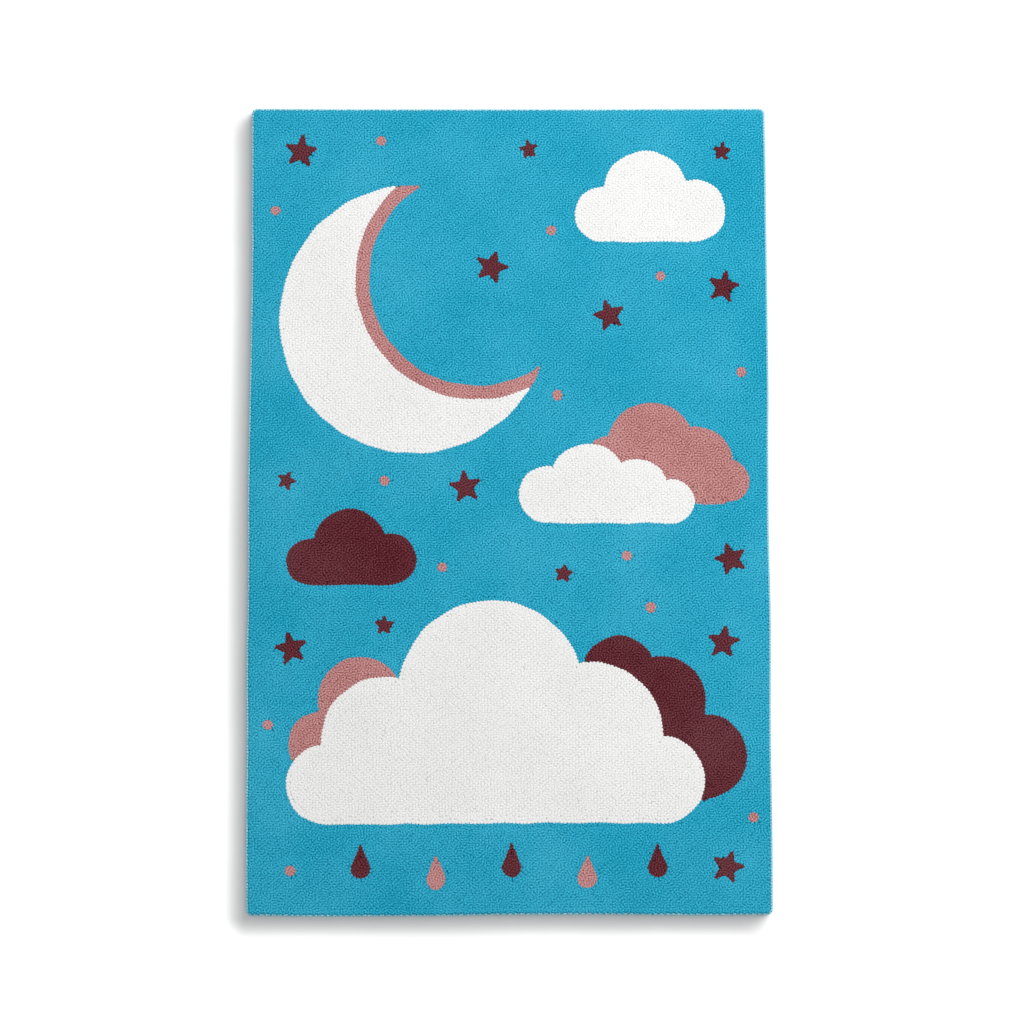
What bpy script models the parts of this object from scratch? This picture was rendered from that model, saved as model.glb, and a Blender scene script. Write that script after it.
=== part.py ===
"""Rectangular kids' rug: a dense loop pile on a woven backing, with a whipped edge.

Metres, +Z up, +Y towards the head of the rug. The origin is the middle of the underside,
which lies flat on the floor.
"""

import math
from collections import namedtuple

import bmesh
import bpy

# The whole rug, over its binding
RUG_WIDTH = 0.905
RUG_LENGTH = 1.404
CORNER_RADIUS = 0.010

# The body: backing and pile in one
PILE_TOP = 0.010
SHOULDER_RADIUS = 0.0035
SHOULDER_STEPS = 3
CELLS_ACROSS = 24
CELLS_ALONG = 38
CORNER_STEPS = 4

# The whipped edge, and the fit between it and the body
BINDING_WIDTH = 0.0042
BINDING_HEIGHT = 0.0070
BINDING_ROUND = 0.0014
ROUND_STEPS = 3
FIT_GAP = 0.0003

# Each edge wanders a few millimetres inside the full rectangle. along is the place on
# that edge, from its lower end, and inward is how far inside the edge runs there.
EdgeStation = namedtuple("EdgeStation", "along inward")
EDGE_WANDER = {
    "left": (
        EdgeStation(-0.702, 0.0037),
        EdgeStation(-0.560, 0.0020),
        EdgeStation(-0.410, 0.0018),
        EdgeStation(-0.290, 0.0002),
        EdgeStation(-0.130, 0.0014),
        EdgeStation(0.050, 0.0000),
        EdgeStation(0.160, 0.0010),
        EdgeStation(0.290, 0.0026),
        EdgeStation(0.420, 0.0034),
        EdgeStation(0.560, 0.0023),
        EdgeStation(0.702, 0.0016),
    ),
    "right": (
        EdgeStation(-0.702, 0.0009),
        EdgeStation(-0.580, 0.0004),
        EdgeStation(-0.390, 0.0016),
        EdgeStation(-0.200, 0.0000),
        EdgeStation(-0.010, 0.0024),
        EdgeStation(0.100, 0.0019),
        EdgeStation(0.200, 0.0006),
        EdgeStation(0.350, 0.0013),
        EdgeStation(0.560, 0.0023),
        EdgeStation(0.702, 0.0037),
    ),
    "foot": (
        EdgeStation(-0.452, 0.0015),
        EdgeStation(-0.330, 0.0000),
        EdgeStation(-0.160, 0.0008),
        EdgeStation(0.030, 0.0031),
        EdgeStation(0.150, 0.0034),
        EdgeStation(0.340, 0.0021),
        EdgeStation(0.452, 0.0033),
    ),
    "head": (
        EdgeStation(-0.452, 0.0003),
        EdgeStation(-0.250, 0.0009),
        EdgeStation(0.150, 0.0011),
        EdgeStation(0.300, 0.0004),
        EdgeStation(0.452, 0.0000),
    ),
}

# The pile lies a little higher and lower in soft patches. across and along are the
# lengths of one wave in each direction, and turn is where in the wave the middle lies.
PileWave = namedtuple("PileWave", "height across along turn")
PILE_WAVES = (
    PileWave(0.00022, 0.61, 0.87, 0.4),
    PileWave(0.00016, 0.34, -0.52, 1.9),
    PileWave(0.00010, 0.21, 0.30, 4.1),
)

GROUND_BLUE = (0.030, 0.330, 0.525, 1.0)
BINDING_BLUE = (0.150, 0.420, 0.520, 1.0)


def remove_everything():
    for item in list(bpy.data.objects):
        bpy.data.objects.remove(item, do_unlink=True)


def yarn_material(name, colour):
    """Matt yarn: rough, not metallic."""
    material = bpy.data.materials.new(name)
    material.use_nodes = True
    shader = material.node_tree.nodes["Principled BSDF"]
    shader.inputs["Base Color"].default_value = colour
    shader.inputs["Roughness"].default_value = 0.9
    shader.inputs["Metallic"].default_value = 0.0
    return material


def edge_inward(edge, along):
    """How far an edge runs inside the full rectangle, eased from station to station."""
    stations = EDGE_WANDER[edge]
    for near, far in zip(stations, stations[1:]):
        if along <= far.along:
            part = max(0.0, (along - near.along) / (far.along - near.along))
            ease = (1 - math.cos(math.pi * part)) / 2
            return near.inward + (far.inward - near.inward) * ease
    return stations[-1].inward


def follow_edges(mesh):
    """Draws a mesh of the true rectangle in to the wandering outline, and less so inside."""
    for vertex in mesh.vertices:
        x, y, z = vertex.co
        side = edge_inward("left" if x < 0 else "right", y)
        end = edge_inward("foot" if y < 0 else "head", x)
        vertex.co.x = x * (1 - side / (RUG_WIDTH / 2))
        vertex.co.y = y * (1 - end / (RUG_LENGTH / 2))


def pile_height(x, y):
    """Height of the pile's soft patches over its mean."""
    return sum(
        wave.height * math.sin(math.tau * (x / wave.across + y / wave.along) + wave.turn)
        for wave in PILE_WAVES
    )


def grid_lines(half_size, cells):
    """Places of the inner lines of the body's grid, in one direction."""
    return [half_size * (2 * line / cells - 1) for line in range(1, cells)]


def body_half_sizes():
    inset = BINDING_WIDTH + FIT_GAP
    return RUG_WIDTH / 2 - inset, RUG_LENGTH / 2 - inset


def make_rug_body():
    """Backing and pile as one slab: flat below, softly uneven above, with a round shoulder."""
    half_width, half_length = body_half_sizes()
    bm = bmesh.new()
    bmesh.ops.create_grid(bm, x_segments=CELLS_ACROSS, y_segments=CELLS_ALONG, size=1.0)
    bmesh.ops.scale(bm, vec=(half_width, half_length, 1.0), verts=bm.verts)

    corners = [vertex for vertex in bm.verts if len(vertex.link_edges) == 2]
    bmesh.ops.bevel(
        bm,
        geom=corners,
        offset=CORNER_RADIUS - BINDING_WIDTH - FIT_GAP,
        segments=CORNER_STEPS,
        profile=0.5,
        affect="VERTICES",
    )

    top = bmesh.ops.extrude_face_region(bm, geom=bm.faces[:], use_keep_orig=True)["geom"]
    raised = [item for item in top if isinstance(item, bmesh.types.BMVert)]
    bmesh.ops.translate(bm, vec=(0, 0, PILE_TOP), verts=raised)
    bmesh.ops.recalc_face_normals(bm, faces=bm.faces[:])

    underside = [face for face in bm.faces if face.normal.z < -0.5]
    bmesh.ops.dissolve_faces(bm, faces=underside)

    rim = [
        edge
        for edge in bm.edges
        if all(vertex.co.z > PILE_TOP / 2 for vertex in edge.verts)
        and any(abs(face.normal.z) < 0.5 for face in edge.link_faces)
    ]
    bmesh.ops.bevel(
        bm,
        geom=rim,
        offset=SHOULDER_RADIUS,
        segments=SHOULDER_STEPS,
        profile=0.5,
        affect="EDGES",
    )
    for vertex in bm.verts:
        vertex.co.z += pile_height(vertex.co.x, vertex.co.y) * vertex.co.z / PILE_TOP

    mesh = bpy.data.meshes.new("rug_body")
    bm.to_mesh(mesh)
    bm.free()
    follow_edges(mesh)
    mesh.shade_smooth()
    mesh.set_sharp_from_angle(angle=math.radians(50))
    return bpy.data.objects.new("rug_body", mesh)


def binding_path():
    """Middle line of the whipped edge, with a point at each grid line of the body."""
    half_width, half_length = body_half_sizes()
    inset = BINDING_WIDTH / 2
    right, head = RUG_WIDTH / 2 - inset, RUG_LENGTH / 2 - inset
    radius = CORNER_RADIUS - inset
    rows = grid_lines(half_length, CELLS_ALONG)
    columns = grid_lines(half_width, CELLS_ACROSS)

    def corner(x_side, y_side, start):
        centre = x_side * (right - radius), y_side * (head - radius)
        for step in range(CORNER_STEPS + 1):
            angle = start + math.pi / 2 * step / CORNER_STEPS
            yield centre[0] + radius * math.cos(angle), centre[1] + radius * math.sin(angle)

    return [
        *((right, y) for y in rows),
        *corner(1, 1, 0.0),
        *((x, head) for x in reversed(columns)),
        *corner(-1, 1, math.pi / 2),
        *((-right, y) for y in reversed(rows)),
        *corner(-1, -1, math.pi),
        *((x, -head) for x in columns),
        *corner(1, -1, 1.5 * math.pi),
    ]


def binding_section():
    """Outline of the whipped edge: flat on the floor and on the body, round on top."""
    half = BINDING_WIDTH / 2
    top = BINDING_HEIGHT
    section = [(-half, 0.0), (half, 0.0)]
    for side, start in ((1, 0.0), (-1, math.pi / 2)):
        centre = side * (half - BINDING_ROUND), top - BINDING_ROUND
        for step in range(ROUND_STEPS + 1):
            angle = start + math.pi / 2 * step / ROUND_STEPS
            section.append(
                (
                    centre[0] + BINDING_ROUND * math.cos(angle),
                    centre[1] + BINDING_ROUND * math.sin(angle),
                )
            )
    return section


def closed_line(name, points):
    """A closed curve through points of the plane."""
    curve = bpy.data.curves.new(name, "CURVE")
    curve.dimensions = "3D"
    curve.twist_mode = "Z_UP"
    spline = curve.splines.new("POLY")
    spline.points.add(len(points) - 1)
    for point, (x, y) in zip(spline.points, points):
        point.co = (x, y, 0.0, 1.0)
    spline.use_cyclic_u = True
    return bpy.data.objects.new(name, curve)


def make_edge_binding(guides):
    """The whipping as one plain ring round the body, swept along its edge."""
    section = closed_line("binding_section", binding_section())
    path = closed_line("binding_path", binding_path())
    for guide in (section, path):
        guides.objects.link(guide)
    path.data.bevel_mode = "OBJECT"
    path.data.bevel_object = section

    bpy.context.view_layer.update()
    swept = path.evaluated_get(bpy.context.evaluated_depsgraph_get())
    mesh = bpy.data.meshes.new_from_object(swept)
    mesh.name = "edge_binding"
    bpy.data.objects.remove(path, do_unlink=True)
    bpy.data.objects.remove(section, do_unlink=True)

    bm = bmesh.new()
    bm.from_mesh(mesh)
    bmesh.ops.remove_doubles(bm, verts=bm.verts, dist=0.00001)
    bmesh.ops.recalc_face_normals(bm, faces=bm.faces[:])
    bm.to_mesh(mesh)
    bm.free()
    follow_edges(mesh)
    mesh.shade_smooth()
    mesh.set_sharp_from_angle(angle=math.radians(50))
    return bpy.data.objects.new("edge_binding", mesh)


def main():
    remove_everything()
    rug = bpy.data.collections.new("kids_rug")
    guides = bpy.data.collections.new("guides")
    for collection in (rug, guides):
        bpy.context.scene.collection.children.link(collection)

    body = make_rug_body()
    body.data.materials.append(yarn_material("pile_yarn", GROUND_BLUE))
    rug.objects.link(body)

    binding = make_edge_binding(guides)
    binding.data.materials.clear()
    binding.data.materials.append(yarn_material("binding_yarn", BINDING_BLUE))
    rug.objects.link(binding)


main()
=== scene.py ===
"""Kids' rug with a low loop pile in four yarns and a whipped edge, laid flat on a pale floor."""

import math
from collections import namedtuple

import bmesh
import bpy
import numpy as np
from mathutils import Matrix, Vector
from mathutils.bvhtree import BVHTree
from mathutils.kdtree import KDTree


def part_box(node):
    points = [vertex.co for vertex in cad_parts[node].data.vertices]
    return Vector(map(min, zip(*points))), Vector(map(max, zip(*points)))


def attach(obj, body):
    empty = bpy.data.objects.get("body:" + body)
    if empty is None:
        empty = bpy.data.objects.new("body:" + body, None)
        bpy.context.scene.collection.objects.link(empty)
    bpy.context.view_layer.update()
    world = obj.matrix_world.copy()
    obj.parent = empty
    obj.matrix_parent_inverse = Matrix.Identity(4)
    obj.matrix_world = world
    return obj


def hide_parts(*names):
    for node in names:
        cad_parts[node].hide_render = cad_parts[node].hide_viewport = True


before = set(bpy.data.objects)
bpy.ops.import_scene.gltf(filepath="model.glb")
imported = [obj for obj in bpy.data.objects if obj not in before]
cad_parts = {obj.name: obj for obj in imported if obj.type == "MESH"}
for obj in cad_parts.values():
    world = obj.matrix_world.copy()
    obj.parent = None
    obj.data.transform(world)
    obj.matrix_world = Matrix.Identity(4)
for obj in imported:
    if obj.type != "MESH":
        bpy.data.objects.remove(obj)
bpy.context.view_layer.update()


# Backing cloth. One cut of coarse plain-woven canvas that the loops are tufted through,
# stiffened by the coating that holds them. Only its pale underside shows, on the floor. Its
# face is dyed like the ground, so that it hides between the loops.
BACKING_THICKNESS = 0.0028
BACKING_THREAD = 0.0021
CANVAS_PALE = (0.60, 0.53, 0.41, 1.0)
CANVAS_PAINTED_SHADE = (0.36, 0.30, 0.21, 1.0)
CANVAS_FACE = (0.008, 0.190, 0.300, 1.0)
FACE_FROM = BACKING_THICKNESS / 8
SLUBS_PER_METRE = 900.0
RIDGE_SHARE = 0.5
OVER_SHARE = 0.25
SLUB_SHARE = 0.35
WEAVE_SHADE_AND_TONE = 0.8
ON_FLOOR = 0.0001


def underside_outline(node):
    """Corners of a CAD node's flat underside, anticlockwise as seen from above."""
    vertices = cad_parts[node].data.vertices
    corners = {(round(v.co.x, 6), round(v.co.y, 6)) for v in vertices if v.co.z < ON_FLOOR}
    return sorted(corners, key=lambda corner: math.atan2(corner[1], corner[0]))


def new_object(name, mesh):
    piece = bpy.data.objects.new(name, mesh)
    bpy.context.scene.collection.objects.link(piece)
    return piece


def backing_mesh(outline):
    bm = bmesh.new()
    sole = bm.faces.new([bm.verts.new((x, y, 0.0)) for x, y in outline])
    raised = bmesh.ops.extrude_face_region(bm, geom=[sole], use_keep_orig=True)["geom"]
    raised = [item for item in raised if isinstance(item, bmesh.types.BMVert)]
    bmesh.ops.translate(bm, vec=(0, 0, BACKING_THICKNESS), verts=raised)
    bmesh.ops.recalc_face_normals(bm, faces=bm.faces[:])
    mesh = bpy.data.meshes.new("backing_cloth")
    bm.to_mesh(mesh)
    bm.free()
    return mesh


def matt_material(name, roughness, sheen, shine):
    """A Principled material with its constants set, and its tree and shader to wire up."""
    material = bpy.data.materials.new(name)
    material.use_nodes = True
    shader = material.node_tree.nodes["Principled BSDF"]
    shader.inputs["Roughness"].default_value = roughness
    shader.inputs["Sheen Weight"].default_value = sheen
    shader.inputs["Sheen Roughness"].default_value = 0.6
    shader.inputs["Specular IOR Level"].default_value = shine
    return material, material.node_tree, shader


def feed(tree, value, socket):
    """Sets an input to a plain value, or links it to a socket or a node's first output."""
    if isinstance(value, bpy.types.Node):
        value = value.outputs[0]
    if isinstance(value, bpy.types.NodeSocket):
        tree.links.new(value, socket)
    else:
        socket.default_value = value


def add_node(tree, kind, **settings):
    """A new node with its properties and, by name, its inputs set or linked."""
    node = tree.nodes.new(kind)
    for key, value in settings.items():
        if hasattr(node, key):
            setattr(node, key, value)
        else:
            feed(tree, value, node.inputs[key.replace("_", " ")])
    return node


def maths(tree, operation, *values, kind="ShaderNodeMath"):
    """A Math node of one or two values, each a number, a socket or a node."""
    node = add_node(tree, kind, operation=operation)
    for value, socket in zip(values, node.inputs):
        feed(tree, value, socket)
    return node


def summed(tree, *parts):
    """The sum of values, each times its share."""
    total, *others = (maths(tree, "MULTIPLY", value, share) for value, share in parts)
    for other in others:
        total = maths(tree, "ADD", total, other)
    return total


def socket_of(sockets, name, kind):
    """A socket of a node that has one of the same name for each type of value."""
    return next(s for s in sockets if s.name == name and s.type == kind)


def mix_colours(tree, factor, low, high):
    """A colour between two others, by a factor."""
    node = add_node(tree, "ShaderNodeMix", data_type="RGBA", Factor=factor)
    feed(tree, low, socket_of(node.inputs, "A", "RGBA"))
    feed(tree, high, socket_of(node.inputs, "B", "RGBA"))
    return socket_of(node.outputs, "Result", "RGBA")


def add_bump(tree, shader, height, depth, strength):
    bump = add_node(tree, "ShaderNodeBump", Height=height, Distance=depth, Strength=strength)
    feed(tree, bump, shader.inputs["Normal"])


def canvas_material():
    """Plain weave: warp and weft threads that pass over each other in turn, painted darker where
    the weave lies low, as shade between and under the threads.
    """
    material, tree, shader = matt_material("woven_canvas", roughness=0.92, sheen=0.15, shine=0.2)
    place = tree.nodes.new("ShaderNodeTexCoord").outputs["Object"]
    axes = add_node(tree, "ShaderNodeSeparateXYZ", Vector=place).outputs
    turn = math.pi / BACKING_THREAD
    threads = [maths(tree, "SINE", maths(tree, "MULTIPLY", axes[axis], turn)) for axis in "XY"]
    ridges = [(maths(tree, "ABSOLUTE", thread), RIDGE_SHARE) for thread in threads]
    over = maths(tree, "MULTIPLY", *threads)
    slubs = add_node(tree, "ShaderNodeTexNoise", Vector=place, Scale=SLUBS_PER_METRE, Detail=3.0)
    height = summed(tree, *ridges, (over, OVER_SHARE), (slubs, SLUB_SHARE))
    # Lower parts of the weave get a darker colour: painted shade, with the slubs' uneven tone.
    tone_and_shade = maths(tree, "MULTIPLY", height, WEAVE_SHADE_AND_TONE)
    colour = mix_colours(tree, tone_and_shade, CANVAS_PAINTED_SHADE, CANVAS_PALE)
    face = maths(tree, "GREATER_THAN", axes["Z"], FACE_FROM)
    feed(tree, mix_colours(tree, face, colour, CANVAS_FACE), shader.inputs["Base Color"])
    add_bump(tree, shader, height, depth=0.0006, strength=0.8)
    return material


body_outline = underside_outline("rug_body")
backing = new_object("backing_cloth", backing_mesh(body_outline))
backing.data.materials.append(canvas_material())
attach(backing, "root")
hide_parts("rug_body")


# The lie of the loops. They stand in columns along the rug's length, as a tufting needle
# sets them, each column half a stitch off its neighbours, and run a little unevenly. That
# fades towards the sides and ends, where every other column starts with a part stitch.
COLUMN_GAUGE = 0.0052
STITCH_LENGTH = 0.0084
END_STITCH = 0.3
RIM_INSET = 0.0009
CORNER_RADIUS = 0.0055
SIDE_FADE = 6
END_FADE = 9
WARPS = (
    # reach, wave across, wave along, start
    (0.0008, 0.083, 0.131, 0.3),
    (0.0004, -0.057, 0.071, 2.2),
    (0.0005, 0.210, -0.077, 4.6),
)

body_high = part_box("rug_body")[1]
half_width = body_high.x - RIM_INSET
half_length = body_high.y - RIM_INSET


def loop_columns():
    """Places of all loops on the true rectangle, column by column."""
    columns = round(2 * half_width / COLUMN_GAUGE)
    rows = round(2 * half_length / STITCH_LENGTH)
    even = (np.arange(rows) + 0.5) / rows
    odd = np.clip(np.arange(rows + 1) / rows, END_STITCH / rows, 1 - END_STITCH / rows)
    places = []
    for column in range(columns):
        along = odd if column % 2 else even
        across = np.full(len(along), (column + 0.5) / columns)
        places.append(np.stack([across, along], 1))
    unit = 2 * np.concatenate(places) - 1
    return unit * (half_width, half_length)


def warped(places):
    """The columns and the design run a little unevenly, stay as close and end at the rim."""
    x, y = places.T
    still = np.clip((1 - (x / half_width) ** 2) * SIDE_FADE, 0, 1)
    still *= np.clip((1 - (y / half_length) ** 2) * END_FADE, 0, 1)
    for reach, wave_across, wave_along, start in WARPS:
        phase = math.tau * (x / wave_across + y / wave_along) + start
        crest = np.array((wave_across, -wave_along)) / math.hypot(wave_across, wave_along)
        places = places + (reach * still * np.sin(phase))[:, None] * crest
    return places


# The design. Clouds, a crescent moon, drops, stars and dots in white, burgundy and pink
# yarn on the blue ground. Shapes are listed from the lowest to the one on top. A star's
# turn is in degrees, clockwise.
BLUE, WHITE, BURGUNDY, PINK = range(4)
Puff = namedtuple("Puff", "x y radius")
Cloud = namedtuple("Cloud", "yarn base top puffs")
Moon = namedtuple("Moon", "x y radius hollow_x hollow_y hollow_radius rim")
Star = namedtuple("Star", "x y radius turn")
Dot = namedtuple("Dot", "x y radius")
Drop = namedtuple("Drop", "x y radius yarn")

MOON = Moon(-0.165, 0.330, 0.236, -0.055, 0.402, 0.190, 0.024)
CLOUDS = (
    Cloud(WHITE, 0.465, 0.512, (Puff(0.165, 0.514, 0.049), Puff(0.240, 0.552, 0.074),
                                Puff(0.325, 0.520, 0.055))),
    Cloud(PINK, 0.005, 0.055, (Puff(0.180, 0.075, 0.050), Puff(0.247, 0.106, 0.076),
                               Puff(0.327, 0.078, 0.062), Puff(0.380, 0.046, 0.038))),
    Cloud(WHITE, -0.028, 0.015, (Puff(0.068, 0.022, 0.050), Puff(0.138, 0.042, 0.068),
                                 Puff(0.222, 0.028, 0.056), Puff(0.285, 0.010, 0.038))),
    Cloud(BURGUNDY, -0.135, -0.095, (Puff(-0.345, -0.095, 0.040), Puff(-0.275, -0.065, 0.062),
                                     Puff(-0.205, -0.090, 0.045))),
    Cloud(BURGUNDY, -0.505, -0.430, (Puff(0.190, -0.285, 0.062), Puff(0.262, -0.336, 0.078),
                                     Puff(0.338, -0.430, 0.072))),
    Cloud(PINK, -0.505, -0.415, (Puff(-0.322, -0.410, 0.058), Puff(-0.255, -0.332, 0.073))),
    Cloud(WHITE, -0.545, -0.430, (Puff(-0.315, -0.477, 0.068), Puff(-0.212, -0.405, 0.112),
                                  Puff(-0.030, -0.322, 0.160), Puff(0.142, -0.393, 0.124),
                                  Puff(0.262, -0.470, 0.075))),
)
STARS = (
    Star(-0.365, 0.625, 0.0290, 8), Star(0.035, 0.630, 0.0160, -10),
    Star(0.175, 0.335, 0.0275, -14), Star(0.375, 0.385, 0.0280, 12),
    Star(-0.030, 0.420, 0.0290, 16), Star(0.375, 0.625, 0.0160, 4),
    Star(-0.385, 0.045, 0.0160, 20), Star(-0.075, 0.035, 0.0280, -6),
    Star(0.385, -0.090, 0.0275, -18), Star(0.095, -0.115, 0.0155, 10),
    Star(0.370, -0.235, 0.0280, 6), Star(-0.375, -0.245, 0.0280, -12),
    Star(-0.215, -0.205, 0.0160, 0), Star(0.375, -0.620, 0.0280, 15),
)
DOTS = (
    Dot(-0.225, 0.645, 0.0085), Dot(0.075, 0.485, 0.0085), Dot(0.265, 0.405, 0.0080),
    Dot(-0.410, 0.520, 0.0080), Dot(0.085, 0.195, 0.0090), Dot(0.405, 0.235, 0.0085),
    Dot(-0.215, 0.045, 0.0085), Dot(0.205, -0.085, 0.0085), Dot(-0.115, -0.105, 0.0080),
    Dot(0.245, -0.175, 0.0090), Dot(0.420, -0.535, 0.0085), Dot(-0.415, -0.375, 0.0085),
    Dot(-0.375, -0.625, 0.0090),
)
DROPS = (
    Drop(-0.255, -0.620, 0.0165, BURGUNDY), Drop(-0.125, -0.640, 0.0165, PINK),
    Drop(0.005, -0.620, 0.0165, BURGUNDY), Drop(0.135, -0.640, 0.0165, PINK),
    Drop(0.255, -0.620, 0.0165, BURGUNDY),
)
STAR_NOTCH = 0.46
DROP_TIP = 2.3
TIP_ROUND = 0.0030


def to_disc(x, y, disc_x, disc_y, radius):
    """Distance to a disc's border, less than 0 inside it, as in the functions below."""
    return np.hypot(x - disc_x, y - disc_y) - radius


def to_cloud(x, y, cloud):
    left, right = cloud.puffs[0], cloud.puffs[-1]
    bar_x = np.abs(x - (left.x + right.x) / 2) - (right.x - left.x) / 2
    near = np.maximum(bar_x, y - cloud.top)
    for puff in cloud.puffs:
        near = np.minimum(near, to_disc(x, y, *puff))
    return np.maximum(near, cloud.base - y)


def to_crescent(x, y, moon, rim):
    hollow = to_disc(x, y, moon.hollow_x, moon.hollow_y, moon.hollow_radius + rim)
    return np.maximum(to_disc(x, y, moon.x, moon.y, moon.radius), -hollow)


def to_star(x, y, star):
    """A star drawn thin, then thickened all round, so that its five tips are round."""
    fifth = math.tau / 5
    thin = star.radius - TIP_ROUND
    angle = np.arctan2(x - star.x, y - star.y) - math.radians(star.turn)
    angle = np.abs((angle + fifth / 2) % fifth - fifth / 2)
    reach = np.hypot(x - star.x, y - star.y)
    notch = STAR_NOTCH * thin
    side_x, side_y = notch * math.cos(fifth / 2) - thin, notch * math.sin(fifth / 2)
    px, py = reach * np.cos(angle) - thin, reach * np.sin(angle)
    part = np.clip((px * side_x + py * side_y) / (side_x**2 + side_y**2), 0, 1)
    near = np.hypot(px - part * side_x, py - part * side_y)
    return np.where(side_x * py - side_y * px >= 0, -near, near) - TIP_ROUND


def to_drop(x, y, drop):
    """A disc with a point drawn up from it, thickened all round like the stars."""
    thin, rise = drop.radius - TIP_ROUND, DROP_TIP * drop.radius - TIP_ROUND
    lean = math.asin(thin / rise)
    slope = np.abs(x - drop.x) * math.cos(lean) + (y - drop.y - rise) * math.sin(lean)
    cone = np.maximum(slope, drop.y + thin * math.sin(lean) - y)
    return np.minimum(to_disc(x, y, drop.x, drop.y, thin), cone) - TIP_ROUND


def design_shapes():
    """(yarn, distance function) of each shape, from the lowest to the one on top."""
    yield PINK, lambda x, y: to_crescent(x, y, MOON, 0)
    yield WHITE, lambda x, y: to_crescent(x, y, MOON, MOON.rim)
    for cloud in CLOUDS:
        yield cloud.yarn, lambda x, y, cloud=cloud: to_cloud(x, y, cloud)
    for star in STARS:
        yield BURGUNDY, lambda x, y, star=star: to_star(x, y, star)
    for dot in DOTS:
        yield PINK, lambda x, y, dot=dot: to_disc(x, y, *dot)
    for drop in DROPS:
        yield drop.yarn, lambda x, y, drop=drop: to_drop(x, y, drop)


shapes = list(design_shapes())
small_shapes = shapes[-len(STARS) - len(DOTS) - len(DROPS):]


def to_small_shapes(places):
    """Distance to the nearest star, dot or drop."""
    return np.min([distance(*places.T) for _, distance in small_shapes], axis=0)


def yarn_and_border(places):
    """Each place's yarn, and how far it is from the nearest border between two yarns."""
    x, y = places.T
    yarn = np.full(len(places), BLUE)
    border = np.full(len(places), np.inf)
    covered = np.zeros(len(places), bool)
    for shape_yarn, distance in reversed(shapes):
        near = distance(x, y)
        border = np.where(covered, border, np.minimum(border, np.abs(near)))
        inside = ~covered & (near < 0)
        yarn[inside] = shape_yarn
        covered |= inside
    return yarn, border


# Loops along the outlines. A maker tufts the small motifs loop by loop and lines each
# border with a row of loops on both sides, so the outlines run smoother than the columns.
BORDER_HALF = 0.0027
OUTLINE_STEP = 0.0008
SIDE_STEP = 0.0006
ROW_PITCH = 0.0062
ROW_CLEARANCE = 0.0046
SPOT_CLEARANCE = 0.75 * BORDER_HALF

# Small motifs, loop by loop
MOTIF_PITCH = 0.0049
MOTIF_HALF = 0.0026
MOTIF_RIM = 0.8 * MOTIF_HALF
MOTIF_GAP = 0.75 * MOTIF_PITCH
MOTIF_CLEARANCE = 0.0012
MOTIF_STEPS = 9
MOTIF_ROW_STEP = 0.866
SET_ROOM = 0.88 * MOTIF_PITCH
RING_PITCH = 0.92 * MOTIF_PITCH
DOT_LOOPS = 7
DROP_TURN = 17
DROP_NARROW = 0.4 * MOTIF_PITCH
HALVINGS = 16

# How the loops near a border settle
NEAR_BORDER = 0.014
NEIGHBOUR_REACH = 0.009
LOOP_ROOM = 0.0057
LEAST_SPACING = 0.0036
SLOPE_STEP = 0.0003
PUSH_APART = 0.3
PUSH_AWAY = 0.7
SETTLING_ROUNDS = 14
FILLING_ROUNDS = 3
HOLE_SIZE = 0.0041
HOLE_STEP = 0.002
HOLE_CLEARANCE = 0.5 * BORDER_HALF
Loops = namedtuple("Loops", "places yarns rooms pinned")


def loops_at(places, yarn, room, pinned):
    places = np.reshape(np.array(places, float), (-1, 2))
    return Loops(places, *(np.full(len(places), value) for value in (yarn, room, pinned)))


def joined(groups):
    return Loops(*(np.concatenate(arrays) for arrays in zip(*groups)))


def chosen(loops, keep):
    return Loops(*(array[keep] for array in loops))


def circle(x, y, radius):
    """Places round a circle, anticlockwise."""
    angle = np.linspace(0, math.tau, round(math.tau * radius / OUTLINE_STEP), endpoint=False)
    return np.stack([x + radius * np.cos(angle), y + radius * np.sin(angle)], 1)


def traced(distance, x, y, reach):
    """Outline of a small motif, found along lines from its middle by halving."""
    angle = np.linspace(0, math.tau, round(math.tau * reach / OUTLINE_STEP), endpoint=False)
    way = np.stack([np.cos(angle), np.sin(angle)])
    inside, outside = np.zeros(len(angle)), np.full(len(angle), reach)
    for _ in range(HALVINGS):
        middle = (inside + outside) / 2
        within = distance(x + way[0] * middle, y + way[1] * middle) < 0
        inside, outside = np.where(within, middle, inside), np.where(within, outside, middle)
    return (way * inside).T + (x, y)


def outlines():
    """(Places along each outline, anticlockwise, and whether its inner side gets a row)."""
    for rim in (0, MOON.rim):
        yield circle(MOON.hollow_x, MOON.hollow_y, MOON.hollow_radius + rim), True
    yield circle(MOON.x, MOON.y, MOON.radius), True
    for cloud in CLOUDS:
        for puff in cloud.puffs:
            yield circle(*puff), True
        left = min(puff.x - puff.radius for puff in cloud.puffs)
        right = max(puff.x + puff.radius for puff in cloud.puffs)
        base = np.arange(left, right, OUTLINE_STEP)
        yield np.stack([base, np.full(len(base), cloud.base)], 1), True
    for (_, distance), motif in zip(small_shapes, (*STARS, *DOTS, *DROPS)):
        yield traced(distance, motif.x, motif.y, 3 * motif.radius), False


def stretches(curve, shown):
    """The unbroken shown stretches of a closed or open curve."""
    if shown.all():
        return [curve]
    first_hidden = int(np.argmin(shown))
    curve, shown = np.roll(curve, -first_hidden, axis=0), np.roll(shown, -first_hidden)
    cuts = np.flatnonzero(np.diff(shown.astype(int))) + 1
    pieces = zip(np.split(curve, cuts), np.split(shown, cuts))
    return [piece for piece, piece_shown in pieces if piece_shown[0] and len(piece) > 2]


def even_stops(line, pitch, start):
    """A line's values at even stops about a pitch apart, with its own breaks skipped."""
    steps = np.linalg.norm(np.diff(line[:, :2], axis=0), axis=1)
    steps = np.where(steps < 3 * OUTLINE_STEP, steps, 0)
    travel = np.concatenate([[0], np.cumsum(steps)])
    number = max(1, round(travel[-1] / pitch))
    stops = (np.arange(number) + start) / number * travel[-1]
    return np.stack([np.interp(stops, travel, column) for column in line.T], 1)


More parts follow.
